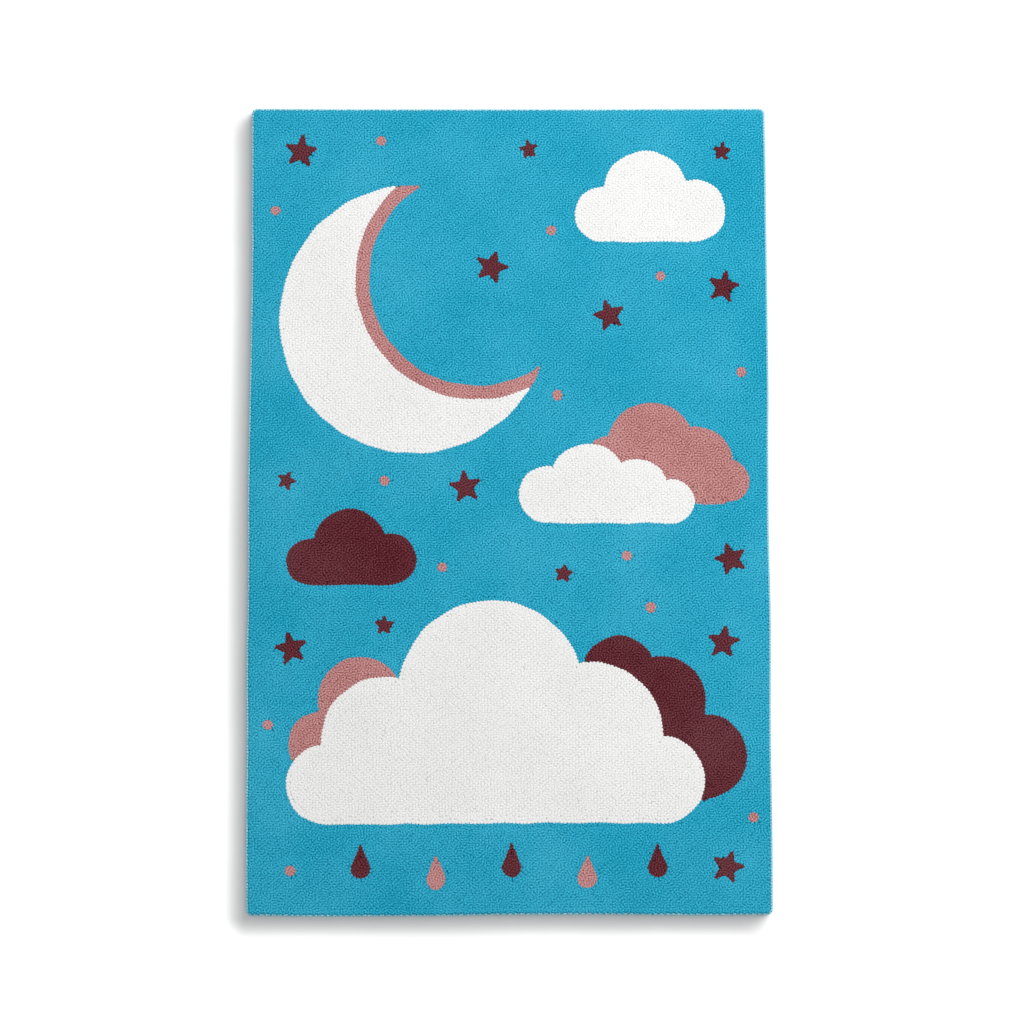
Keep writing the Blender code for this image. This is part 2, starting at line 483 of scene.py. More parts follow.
def border_rows():
    """Even rows of loops along both sides of every border, set gap against loop."""
    for curve, both_sides in outlines():
        along = np.roll(curve, -1, axis=0) - np.roll(curve, 1, axis=0)
        along /= np.linalg.norm(along, axis=1, keepdims=True)
        outwards = np.stack([along[:, 1], -along[:, 0]], 1)
        yarn_out = yarn_and_border(curve + SIDE_STEP * outwards)[0]
        yarn_in = yarn_and_border(curve - SIDE_STEP * outwards)[0]
        for stretch in stretches(np.hstack([curve, outwards]), yarn_out != yarn_in):
            for side, start in ((1, 0.25), (-1, 0.75)) if both_sides else ((1, 0.5),):
                row = even_stops(stretch, ROW_PITCH, start)
                spots = row[:, :2] + side * BORDER_HALF * row[:, 2:]
                clear = yarn_and_border(spots)[1] > SPOT_CLEARANCE
                yield loops_at(spots[clear], BLUE, LOOP_ROOM, True)


def motif_fill(yarn, distance, x, y, turn, set_places):
    """Fills a small motif with close loops round the ones whose places are set."""
    steps = np.arange(-MOTIF_STEPS, MOTIF_STEPS + 1)
    column, row = (part.ravel() for part in np.meshgrid(steps, steps))
    across = MOTIF_PITCH * column + MOTIF_PITCH / 2 * (row % 2)
    along = MOTIF_PITCH * (row * MOTIF_ROW_STEP)
    angle = math.radians(turn)
    grid = np.stack([across * math.cos(angle) + along * math.sin(angle) + x,
                     along * math.cos(angle) - across * math.sin(angle) + y], 1)
    inside = distance(*grid.T) < -MOTIF_RIM
    for place in set_places:
        inside &= np.linalg.norm(grid - place, axis=1) > MOTIF_GAP
    yield loops_at(set_places, yarn, SET_ROOM, True)
    yield loops_at(grid[inside], yarn, MOTIF_PITCH, False)


def drop_ring(distance, drop):
    """Places of a drop's outer loops, from its tip down both flanks alike."""
    line = traced(lambda x, y: distance(x, y) + MOTIF_HALF, drop.x, drop.y, 3 * drop.radius)
    line = np.roll(line, -int(np.argmax(line[:, 1])), axis=0)
    ring = even_stops(line, RING_PITCH, 0)
    narrow = np.abs(ring[:, 0] - drop.x) < DROP_NARROW
    ring[:, 0] = np.where(narrow, drop.x, ring[:, 0])
    return ring


def motif_loops():
    """The loops of every star, dot and drop, with one set in each tip."""
    small = iter(small_shapes)
    for star in STARS:
        angles = [math.radians(star.turn + 360 * arm / 5) for arm in range(5)]
        out = star.radius - MOTIF_HALF
        tips = [(star.x + out * math.sin(a), star.y + out * math.cos(a)) for a in angles]
        yield from motif_fill(*next(small), star.x, star.y, star.turn, tips)
    for dot in DOTS:
        ring = circle(dot.x, dot.y, dot.radius - MOTIF_HALF)
        ring = ring[np.arange(DOT_LOOPS) * len(ring) // DOT_LOOPS]
        yield from motif_fill(*next(small), dot.x, dot.y, 0, ring)
    for number, drop in enumerate(DROPS):
        yarn, distance = next(small)
        ring = drop_ring(distance, drop)
        yield from motif_fill(yarn, distance, drop.x, drop.y, DROP_TURN * number, ring)


def away_from_border(places):
    """Directions in which places get away from the nearest border."""
    slope = [
        yarn_and_border(places + shift)[1] - yarn_and_border(places - shift)[1]
        for shift in ((SLOPE_STEP, 0.0), (0.0, SLOPE_STEP))
    ]
    slope = np.stack(slope, 1)
    return slope / np.maximum(np.linalg.norm(slope, axis=1, keepdims=True), SLOPE_STEP)


def search_tree(places):
    tree = KDTree(len(places))
    for number, (x, y) in enumerate(places):
        tree.insert((x, y, 0), number)
    tree.balance()
    return tree


def settle(loops):
    """Loops near a border shift until none crowd and none stands on the border."""
    places = loops.places.copy()
    near = yarn_and_border(places)[1] < NEAR_BORDER
    movers = np.flatnonzero(near & ~loops.pinned)
    half = np.where(loops.rooms[movers] < LOOP_ROOM, MOTIF_HALF, BORDER_HALF)
    tree = search_tree(places)
    pairs = [
        (mover, other)
        for mover in movers
        for _, other, _ in tree.find_range((*places[mover], 0), NEIGHBOUR_REACH)
        if other != mover
    ]
    mover, other = np.array(pairs).T
    room = (loops.rooms[mover] + loops.rooms[other]) / 2
    for _ in range(SETTLING_ROUNDS):
        apart = places[mover] - places[other]
        gap = np.maximum(np.linalg.norm(apart, axis=1), 1e-6)
        push = PUSH_APART * np.clip(room / gap - 1, 0, 1)
        np.add.at(places, mover, apart * push[:, None])
        here = places[movers]
        over = np.clip(half - yarn_and_border(here)[1], 0, None)
        places[movers] = here + away_from_border(here) * (PUSH_AWAY * over)[:, None]
    return loops._replace(places=places)


def without_crowding(loops):
    """Leaves out loops that stand too close to an earlier one."""
    tree = search_tree(loops.places)
    keep = np.ones(len(loops.places), bool)
    for number, (x, y) in enumerate(loops.places):
        if keep[number]:
            for _, other, _ in tree.find_range((x, y, 0), LEAST_SPACING):
                if other > number:
                    keep[other] = False
    return chosen(loops, keep)


def with_holes_filled(loops):
    """Adds loops near the borders where all others are far."""
    axes = (np.arange(-half, half, HOLE_STEP) for half in (half_width, half_length))
    grid = np.stack([part.ravel() for part in np.meshgrid(*axes)], 1)
    border = yarn_and_border(grid)[1]
    grid = grid[(border > HOLE_CLEARANCE) & (border < NEAR_BORDER)]
    tree = search_tree(loops.places)
    lone = [(tree.find((x, y, 0))[2], x, y) for x, y in grid]
    added = []
    for gap, x, y in sorted(lone, reverse=True):
        if gap < HOLE_SIZE:
            break
        if all(math.hypot(x - ax, y - ay) > HOLE_SIZE for ax, ay in added):
            added.append((x, y))
    filled = loops_at(added, BLUE, LOOP_ROOM, False)
    rooms = np.where(to_small_shapes(filled.places) < 0, MOTIF_PITCH, LOOP_ROOM)
    filled = filled._replace(yarns=yarn_and_border(filled.places)[0], rooms=rooms)
    return joined([loops, filled])


field = loop_columns()
off_small = to_small_shapes(field) >= MOTIF_CLEARANCE
field = field[off_small & (yarn_and_border(field)[1] > ROW_CLEARANCE)]
loops = joined([*motif_loops(), *border_rows(), loops_at(field, BLUE, LOOP_ROOM, False)])
for _ in range(FILLING_ROUNDS):
    loops = with_holes_filled(without_crowding(settle(loops)))
loops = without_crowding(settle(loops))

# Only the loops of the small motifs keep a yarn of their own, and the rest take their place's.
in_motif = loops.rooms < LOOP_ROOM
by_place, to_border = yarn_and_border(loops.places)
yarns = np.where(in_motif, loops.yarns, by_place)
places = loops.places


# The loops themselves. Each is a plump knob of soft two-ply yarn, longer along its column
# than across it, rooted in the backing and as high as the body's top there. Its neighbours
# press against it, so only the crown stands free.
LOOP_SIDES = 5
LOOP_ROOT = 0.0022
LOOP_HALF_WIDTH = 0.0031
LOOP_HALF_LENGTH = 0.0046
ROW_HALF_WIDTH = 0.0034
ROW_HALF_LENGTH = 0.0034
MOTIF_LOOP_HALF = 0.0034
LOOP_RINGS = (
    # share of the height, share of the width
    (0.42, 1.50),
    (0.86, 1.05),
    (0.965, 0.60),
)
LOOP_LEAN = math.radians(4)
LOOP_SPIN = math.radians(14)
ROW_SPIN = 0.5
LOOP_UNEVENNESS = 0.07
LOOP_STRAY = 0.0004
RIM_LEAN = math.radians(3)
RIM_REACH = 0.006
LAY_LEAN = math.radians(1.5)
LAY_WAVES = (
    # share, wave across, wave along, start
    (1.0, 0.37, 0.51, 0.9),
    (0.7, -0.22, 0.33, 2.7),
)
LAY_TWIST = 1.3
LAY_START = 1.1
BESIDE_BORDER = 1.5 * BORDER_HALF
ROW_TO_FIELD = (0.004, 0.012)
SEED_STEP = 100
NEAR_SIDE = 0.9
CLEAR_ABOVE = 0.01
MOST_LOOPS = 6900
FUZZ_SOFTENING = 0.75


def to_true_outline(places):
    """Moves places on the true rectangle to where the body's own edges run."""
    corners = np.array(body_outline)
    reach = (body_high.x, body_high.y)
    x, y = places.T

    def edge(axis, side):
        other = 1 - axis
        on_side = side * corners[:, axis] > NEAR_SIDE * reach[axis]
        straight = np.abs(corners[:, other]) < reach[other] - 2 * CORNER_RADIUS
        line = corners[on_side & straight]
        line = line[np.argsort(line[:, other])]
        return np.interp(places[:, other], line[:, other], side * line[:, axis]) / reach[axis]

    across = np.where(x > 0, edge(0, 1), edge(0, -1))
    along = np.where(y > 0, edge(1, 1), edge(1, -1))
    return np.stack([x * across, y * along], 1)


def inside_corners(places):
    """Draws the loops at the four corners in to their round."""
    centre = np.array((half_width - CORNER_RADIUS, half_length - CORNER_RADIUS))
    most = CORNER_RADIUS - LOOP_HALF_WIDTH
    over = np.abs(places) - centre
    at_corner = (over > 0).all(1)
    reach = np.maximum(np.linalg.norm(over, axis=1), 1e-9)
    draw = np.where(at_corner & (reach > most), most / reach, 1.0)[:, None]
    drawn = np.sign(places) * (centre + over * draw)
    return np.where(at_corner[:, None], drawn, places)


def body_tops(places):
    """Height of the CAD body's top at each place."""
    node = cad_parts["rug_body"].data
    node.calc_loop_triangles()
    triangles = [tuple(triangle.vertices) for triangle in node.loop_triangles]
    tree = BVHTree.FromPolygons([v.co for v in node.vertices], triangles)
    above = body_high.z + CLEAR_ABOVE
    hits = (tree.ray_cast(Vector((x, y, above)), Vector((0, 0, -1)))[0] for x, y in places)
    return np.array([hit.z if hit else body_high.z for hit in hits])


def loop_leans(places):
    """How the loops lean: outwards at the rim, and in soft patches over the rug."""
    x, y = places.T
    lean = np.zeros((len(places), 3))
    for reach, across, along, start in LAY_WAVES:
        phase = math.tau * (x / across + y / along) + start
        lean[:, 0] += reach * LAY_LEAN * np.sin(phase)
        lean[:, 1] += reach * LAY_LEAN * np.cos(LAY_TWIST * phase + LAY_START)
    for axis, half, turn, side in ((0, half_width, 1, 1), (1, half_length, 0, -1)):
        into = half - np.abs(places[:, axis])
        rim = np.clip(1 - into / RIM_REACH, 0, 1) * np.sign(places[:, axis]) * RIM_LEAN
        lean[:, turn] += side * rim
    return lean


def row_turns(places, to_border):
    """How far the loops beside a border are turned to lie along it, and which they are."""
    beside = to_border < BESIDE_BORDER
    away = away_from_border(places)
    turn = np.arctan2(away[:, 1], away[:, 0])
    turn = (turn + math.pi / 2) % math.pi - math.pi / 2
    return np.where(beside, turn, 0.0), beside


def yarn_mesh(bm, name, reach):
    """A mesh that carries each point's place in its loop or turn, as a share of a reach, from which
    the yarn's ply pattern and its painted shade are worked out.
    """
    mesh = bpy.data.meshes.new(name)
    bm.to_mesh(mesh)
    bm.free()
    spot = mesh.attributes.new("loop_place", "FLOAT_VECTOR", "POINT")
    shares = [part / size for vertex in mesh.vertices for part, size in zip(vertex.co, reach)]
    spot.data.foreach_set("vector", shares)
    return mesh


def loop_mesh():
    """One loop of yarn, its root at the origin and one unit high, wide and long."""
    bm = bmesh.new()
    rings = []
    for number, (height, width) in enumerate(LOOP_RINGS):
        angles = [math.tau * (side + number / 2) / LOOP_SIDES for side in range(LOOP_SIDES)]
        rings.append(
            [bm.verts.new((width * math.cos(a), width * math.sin(a), height)) for a in angles]
        )
    bm.faces.new(list(reversed(rings[0])))
    for lower, upper in zip(rings, rings[1:]):
        for side in range(LOOP_SIDES):
            after = (side + 1) % LOOP_SIDES
            bm.faces.new((lower[side], lower[after], upper[side]))
            bm.faces.new((lower[after], upper[after], upper[side]))
    tip = bm.verts.new((0.0, 0.0, 1.0))
    for side in range(LOOP_SIDES):
        bm.faces.new((rings[-1][side], rings[-1][(side + 1) % LOOP_SIDES], tip))
    return yarn_mesh(bm, "one_loop", (1.0, 1.0, 1.0))


def new_tree(name, tree_kind, inputs, outputs):
    """A node tree with named sockets, each given as its kind or as the number it starts at."""
    tree = bpy.data.node_groups.new(name, tree_kind)
    for in_out, sockets in (("INPUT", inputs), ("OUTPUT", outputs)):
        for label, given in sockets.items():
            kind = "NodeSocket" + {int: "Int", float: "Float"}.get(type(given), str(given))
            socket = tree.interface.new_socket(label, in_out=in_out, socket_type=kind)
            if not isinstance(given, str):
                socket.default_value = given
    source = tree.nodes.new("NodeGroupInput").outputs
    return tree, source, tree.nodes.new("NodeGroupOutput").inputs


def random_value(tree, kind, low, high, seed):
    """A random number or vector between two sockets or values."""
    node = add_node(tree, "FunctionNodeRandomValue", data_type=kind, Seed=seed)
    socket_kind = "VECTOR" if kind == "FLOAT_VECTOR" else "VALUE"
    feed(tree, low, socket_of(node.inputs, "Min", socket_kind))
    feed(tree, high, socket_of(node.inputs, "Max", socket_kind))
    return socket_of(node.outputs, "Value", socket_kind)


def vector_maths(tree, operation, *values):
    return maths(tree, operation, *values, kind="ShaderNodeVectorMath")


def either_way(tree, most, seed):
    """A random vector between a vector and its opposite."""
    least = vector_maths(tree, "MULTIPLY", most, (-1.0, -1.0, -1.0))
    return random_value(tree, "FLOAT_VECTOR", least, most, seed)


def vector_at(tree, name):
    """The vector that each point carries under a name."""
    kind = "GeometryNodeInputNamedAttribute"
    return add_node(tree, kind, data_type="FLOAT_VECTOR", Name=name)


def store(tree, geometry, name, value, **settings):
    """Gives a geometry a named value, which the yarn's material reads."""
    kind = "GeometryNodeStoreNamedAttribute"
    return add_node(tree, kind, **settings, Geometry=geometry, Name=name, Value=value)


def store_dye(tree, instances, seed):
    """Gives each instance a random dye number."""
    dye = random_value(tree, "FLOAT", 0.0, 1.0, seed)
    return store(tree, instances, "dye", dye, data_type="FLOAT", domain="INSTANCE")


def finish_tree(tree, instances, yarn, result):
    """Realizes the instances, shades them smooth and gives them their yarn."""
    real = add_node(tree, "GeometryNodeRealizeInstances", Geometry=instances)
    smooth = add_node(tree, "GeometryNodeSetShadeSmooth", Geometry=real)
    dress = add_node(tree, "GeometryNodeSetMaterial", Geometry=smooth, Material=yarn)
    feed(tree, dress, result["Geometry"])


def tufting_tree():
    """Plants one loop on every point, each with its own lean, size and dye."""
    tree, source, result = new_tree(
        "Tufting",
        "GeometryNodeTree",
        inputs={"Geometry": "Geometry", "Loop": "Object", "Yarn": "Material",
                "Lean": LOOP_LEAN, "Spin": LOOP_SPIN, "Unevenness": LOOP_UNEVENNESS,
                "Stray": LOOP_STRAY, "Seed": 1},
        outputs={"Geometry": "Geometry"},
    )
    seeds = [maths(tree, "ADD", source["Seed"], SEED_STEP * number) for number in range(4)]

    stray = add_node(tree, "ShaderNodeCombineXYZ", X=source["Stray"], Y=source["Stray"])
    stray = either_way(tree, stray, seeds[0])
    roots = add_node(tree, "GeometryNodeSetPosition", Geometry=source["Geometry"], Offset=stray)

    lean = source["Lean"]
    turn = add_node(tree, "ShaderNodeCombineXYZ", X=lean, Y=lean, Z=source["Spin"])
    turn = either_way(tree, turn, seeds[1])
    turn = vector_maths(tree, "MULTIPLY", turn, vector_at(tree, "freedom"))
    turn = vector_maths(tree, "ADD", turn, vector_at(tree, "lean"))

    least = maths(tree, "SUBTRACT", 1.0, source["Unevenness"])
    most = maths(tree, "ADD", 1.0, source["Unevenness"])
    swell = random_value(tree, "FLOAT", least, most, seeds[2])
    plump = add_node(tree, "ShaderNodeCombineXYZ", X=swell, Y=swell, Z=1.0)
    size = vector_maths(tree, "MULTIPLY", vector_at(tree, "size"), plump)

    loop = add_node(tree, "GeometryNodeObjectInfo", Object=source["Loop"]).outputs["Geometry"]
    plant = add_node(
        tree, "GeometryNodeInstanceOnPoints", Points=roots, Instance=loop, Rotation=turn, Scale=size
    )
    finish_tree(tree, store_dye(tree, plant, seeds[3]), source["Yarn"], result)
    return tree


def made_by_nodes(name, guide, tree, values):
    """The plain mesh that a tree makes of a guide object, which is then removed."""
    modifier = guide.modifiers.new("Make", "NODES")
    modifier.node_group = tree
    for item in tree.interface.items_tree:
        if item.in_out == "INPUT" and item.name in values:
            modifier[item.identifier] = values[item.name]
    bpy.context.view_layer.update()
    made = guide.evaluated_get(bpy.context.evaluated_depsgraph_get())
    mesh = bpy.data.meshes.new_from_object(made)
    mesh.name = name
    bpy.data.objects.remove(guide, do_unlink=True)
    return new_object(name, mesh)


def lay_map_from_above(mesh):
    """A map for baking that is the piece's own plan, since its loops all face up."""
    corners = np.empty(3 * len(mesh.vertices), np.float32)
    mesh.vertices.foreach_get("co", corners)
    plan = corners.reshape(-1, 3)[:, :2]
    plan = (plan - plan.min(0)) / np.ptp(plan, axis=0)
    users = np.empty(len(mesh.loops), np.int32)
    mesh.loops.foreach_get("vertex_index", users)
    layer = mesh.uv_layers.new(name="OFBake")
    layer.uv.foreach_set("vector", plan[users].ravel())


def soften_normals(mesh, share):
    """The fuzz on the yarn spreads the light, so its surface shades as if it lay flatter."""
    normals = np.empty(3 * len(mesh.vertices), np.float32)
    mesh.vertices.foreach_get("normal", normals)
    normals = (1 - share) * normals.reshape(-1, 3) + (0.0, 0.0, share)
    normals /= np.linalg.norm(normals, axis=1, keepdims=True)
    mesh.normals_split_custom_set_from_vertices(normals)


def guide_points(name, spots, attributes):
    """Points to plant loops on, with each loop's lean, freedom and size."""
    mesh = bpy.data.meshes.new(name)
    mesh.from_pydata([(x, y, LOOP_ROOT) for x, y in spots], [], [])
    for key, rows in attributes.items():
        attribute = mesh.attributes.new(key, "FLOAT_VECTOR", "POINT")
        attribute.data.foreach_set("vector", rows.astype(np.float32).ravel())
    return new_object(name, mesh)


leans = loop_leans(places)
turns, beside = row_turns(places, to_border)
leans[:, 2] += turns
places = to_true_outline(inside_corners(warped(places)))
wide = np.interp(to_border, ROW_TO_FIELD, (ROW_HALF_WIDTH, LOOP_HALF_WIDTH))
long = np.interp(to_border, ROW_TO_FIELD, (ROW_HALF_LENGTH, LOOP_HALF_LENGTH))
wide = np.where(in_motif, MOTIF_LOOP_HALF, wide)
long = np.where(in_motif, MOTIF_LOOP_HALF, long)
high = body_tops(places) - LOOP_ROOT
shape_of_loops = {
    "lean": leans,
    "size": np.stack([wide, long, high], 1),
    "freedom": np.where((beside | in_motif)[:, None], (1.0, 1.0, ROW_SPIN), (1.0, 1.0, 1.0)),
}
one_loop = new_object("one_loop", loop_mesh())
tufting = tufting_tree()
pile = []


def plant_yarn(name, yarn, material, seed):
    """Plants one yarn's loops, from foot to head, in as many pieces as their number asks."""
    wanted = np.flatnonzero(yarns == yarn)
    wanted = wanted[np.argsort(places[wanted, 1], kind="stable")]
    parts = math.ceil(len(wanted) / MOST_LOOPS)
    for number, part in enumerate(np.array_split(wanted, parts)):
        label = name if parts == 1 else f"{name}_{number + 1}"
        attributes = {key: rows[part] for key, rows in shape_of_loops.items()}
        guide = guide_points(label + "_roots", places[part], attributes)
        values = {"Loop": one_loop, "Yarn": material, "Seed": seed + number}
        piece = made_by_nodes(label, guide, tufting, values)
        lay_map_from_above(piece.data)
        soften_normals(piece.data, FUZZ_SOFTENING)
        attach(piece, "root")
        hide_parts("rug_body")
        pile.append(piece)


# The yarns. Soft matt acrylic in four dyes. Each loop took the dye a little differently,
# and its plies twist over it under a fine fuzz. Shade is painted into the grooves between the
# plies and down each loop's sides, and the fuzz is painted over the dye as a faint white sheen.
PLY_SLANT = 0.24
PLY_GROOVE_AND_SHADE = 0.52
PLY_HEIGHT = 0.6
CROWN_SHADE_FALL = (("X", 0.10), ("Y", 0.52))
YARN_TONES = (
    # what sets the yarn's tone, and its share in it; Ply also carries the shade painted into ply
    # grooves and down the loop's sides
    ("Fuzz", 0.90),
    ("Ply", 0.92),
    ("Tuft", 2.30),
    ("Patch", 0.45),
)
DYE_SHARE = 0.08
TONE_MIDDLE = 2.005
# The fuzz's faint white sheen, painted into the colour
PAINTED_SHEEN_WHITE = (1.0, 1.0, 1.0, 1.0)
PAINTED_SHEEN_OF_TONE = 0.030
PAINTED_SHEEN_OF_PATCH = 0.034
PAINTED_SHEEN_START = 0.024


def yarn_group():
    """Tone of twisted yarn: plies with shade painted into their grooves and down the loop's sides,
    fuzz, thick and thin spots, soft patches, and a height.
    """
    group, source, result = new_tree(
        "Twisted yarn",
        "ShaderNodeTree",
        inputs={"Rug place": "Vector", "Loop place": "Vector", "Ply turns": 1.0,
                "Fibre size": 0.0020, "Tuft size": 0.0046, "Patch size": 0.16},
        outputs=dict.fromkeys(("Ply", "Fuzz", "Tuft", "Patch", "Height"), "Float"),
    )
    axes = add_node(group, "ShaderNodeSeparateXYZ", Vector=source["Loop place"]).outputs
    along = summed(group, (axes["Y"], 1.0), (axes["X"], PLY_SLANT))
    turns = maths(group, "MULTIPLY", source["Ply turns"], math.pi)
    ply_and_shade = maths(group, "ABSOLUTE", maths(group, "SINE", maths(group, "MULTIPLY", along, turns)))
    ply_and_shade = maths(group, "ADD", maths(group, "MULTIPLY", ply_and_shade, PLY_GROOVE_AND_SHADE), 1 - PLY_GROOVE_AND_SHADE)
    # The crown mask paints shade down the loop's sides and towards its ends, and shapes its bump
    # too.
    shade_fall = [(maths(group, "MULTIPLY", axes[axis], axes[axis]), share) for axis, share in CROWN_SHADE_FALL]
    crown_shade = maths(group, "MAXIMUM", maths(group, "SUBTRACT", 1.0, summed(group, *shade_fall)), 0.0)
    ply_and_shade = maths(group, "MULTIPLY", ply_and_shade, crown_shade)

    place = source["Rug place"]
    fuzz = add_node(group, "ShaderNodeTexNoise", Vector=place, Detail=3.0, Roughness=0.65,
                    Scale=maths(group, "DIVIDE", 1.0, source["Fibre size"]))
    # Two waves a cell, so that a thick and a thin spot together are as long as a tuft
    tuft = add_node(group, "ShaderNodeTexGabor", Vector=place, Frequency=2.0, Anisotropy=0.0,
                    Scale=maths(group, "DIVIDE", 0.5, source["Tuft size"]))
    patch = add_node(group, "ShaderNodeTexNoise", Vector=place, Detail=2.0, Roughness=0.5,
                     Scale=maths(group, "DIVIDE", 1.0, source["Patch size"]))
    height = summed(group, (ply_and_shade, PLY_HEIGHT), (fuzz, 1.0))
    for value, socket in zip((ply_and_shade, fuzz, tuft, patch, height), result):
        feed(group, value, socket)
    return group


twisted_yarn = yarn_group()


def yarn_material(name, deep, bright):
    """Yarn between a deep and a bright tone of its dye, moved by random tone and by shade painted
    into its ply grooves and down its sides.
    """
    material, tree, shader = matt_material(name, roughness=0.88, sheen=0.03, shine=0.05)
    place = tree.nodes.new("ShaderNodeTexCoord").outputs["Object"]
    spot = add_node(tree, "ShaderNodeAttribute", attribute_name="loop_place").outputs["Vector"]
    dye = add_node(tree, "ShaderNodeAttribute", attribute_name="dye").outputs["Fac"]
    yarn = add_node(
        tree, "ShaderNodeGroup", node_tree=twisted_yarn, Rug_place=place, Loop_place=spot
    ).outputs
    shares = ((yarn[output], share) for output, share in YARN_TONES)
    # The tone mixes random dye, fuzz, tuft and patch tone with the shade painted into ply grooves
    # and loop sides.
    tone_and_shade = maths(tree, "SUBTRACT", summed(tree, (dye, DYE_SHARE), *shares), TONE_MIDDLE)
    # A faint white sheen of the fuzz, painted into the colour: more on bright tones and in some
    # patches.
    painted_sheen = summed(tree, (tone_and_shade, PAINTED_SHEEN_OF_TONE), (yarn["Patch"], PAINTED_SHEEN_OF_PATCH))
    painted_sheen = maths(tree, "MAXIMUM", maths(tree, "SUBTRACT", painted_sheen, PAINTED_SHEEN_START), 0.0)
    colour = mix_colours(tree, painted_sheen, mix_colours(tree, tone_and_shade, deep, bright), PAINTED_SHEEN_WHITE)
    feed(tree, colour, shader.inputs["Base Color"])
    add_bump(tree, shader, yarn["Height"], depth=0.0004, strength=0.6)
    return material


DYES = (
    # name in the pieces and slots, yarn, first seed, deep tone, bright tone; random tone and
    # painted shade mix between the two
    ("blue", BLUE, 10, (0.000, 0.197, 0.310, 1.0), (0.025, 0.437, 0.636, 1.0)),
    ("white", WHITE, 20, (0.650, 0.650, 0.645, 1.0), (0.850, 0.850, 0.845, 1.0)),
    ("burgundy", BURGUNDY, 30, (0.044, 0.002, 0.004, 1.0), (0.143, 0.022, 0.034, 1.0)),
    ("pink", PINK, 40, (0.273, 0.076, 0.070, 1.0), (0.580, 0.300, 0.296, 1.0)),
)
for dye, yarn, seed, deep, bright in DYES:
    dyed_yarn = yarn_material(f"{dye}_yarn", deep, bright)
    plant_yarn(f"{dye}_loops", yarn, dyed_yarn, seed)
bpy.data.objects.remove(one_loop, do_unlink=True)


# The whipped edge. A thick yarn, a little paler than the ground, is wound round the cut edge
# of the body and a thin core cord all the way, turn beside turn, each slanting a little. The
# turns bite a little into the body.
TURN_SPACING = 0.0050
TURN_OVERLAP = 1.16
TURN_SLANT = 0.22
TURN_UNEVENNESS = 0.05
TURN_SIDES = 8
SQUARE_ACROSS = 0.7
SQUARE_UP = 0.8
CORE_RADIUS = 0.0021
CORE_SIDES = 8
# Where the core sits in the yarn's ply and crown pattern, which sets its painted shade
CORE_SHADE_PLACE = (0.4, 0.4, 0.0)
EDGE_BITE = 0.0007
TURN_SWELL = ((-1.0, 0.62), (-0.60, 0.90), (0.0, 1.0), (0.60, 0.90), (1.0, 0.62))

edge_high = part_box("edge_binding")[1]
edge_width = edge_high.x - body_high.x + EDGE_BITE
edge_height = edge_high.z


def turn_mesh():
    """One turn of the edge yarn, its length along Y, round the origin."""
    bm = bmesh.new()
    rings = []
    for along, swell in TURN_SWELL:
        ring = []
        for side in range(TURN_SIDES):
            angle = math.tau * (side + 0.5) / TURN_SIDES
            round_x, round_z = math.cos(angle), math.sin(angle)
            x = edge_width / 2 * swell * math.copysign(abs(round_x) ** SQUARE_ACROSS, round_x)
            z = edge_height / 2 * swell * math.copysign(abs(round_z) ** SQUARE_UP, round_z)
            y = along * TURN_SPACING / 2 * TURN_OVERLAP + TURN_SLANT * z
            ring.append(bm.verts.new((x, y, z)))
        rings.append(ring)
    for near, far in zip(rings, rings[1:]):
        for side in range(TURN_SIDES):
            after = (side + 1) % TURN_SIDES
            bm.faces.new((near[side], near[after], far[after], far[side]))
    bm.faces.new(rings[0])
    bm.faces.new(rings[-1])
    bmesh.ops.recalc_face_normals(bm, faces=bm.faces[:])
    # Measured against these reaches, the painted crown shade darkens each turn towards both ends,
    # where it meets the next.
    reach = (edge_width, TURN_SPACING / 2, edge_height)
    return yarn_mesh(bm, "one_turn", reach)


def edge_guide(outline, outwards):
    """A closed line that runs a step outside an outline, halfway up the edge."""
    corners = [Vector((x, y, edge_height / 2)) for x, y in outline]
    line = []
    for before, here, after in zip(corners[-1:] + corners[:-1], corners, corners[1:] + corners[:1]):
        way = (here - before).normalized() + (after - here).normalized()
        way.normalize()
        line.append(here + outwards * Vector((way.y, -way.x, 0.0)))
    mesh = bpy.data.meshes.new("edge_line")
    edges = [(number, (number + 1) % len(line)) for number in range(len(line))]
    mesh.from_pydata(line, edges, [])
    length = sum((line[a] - line[b]).length for a, b in edges)
    return new_object("edge_line", mesh), length


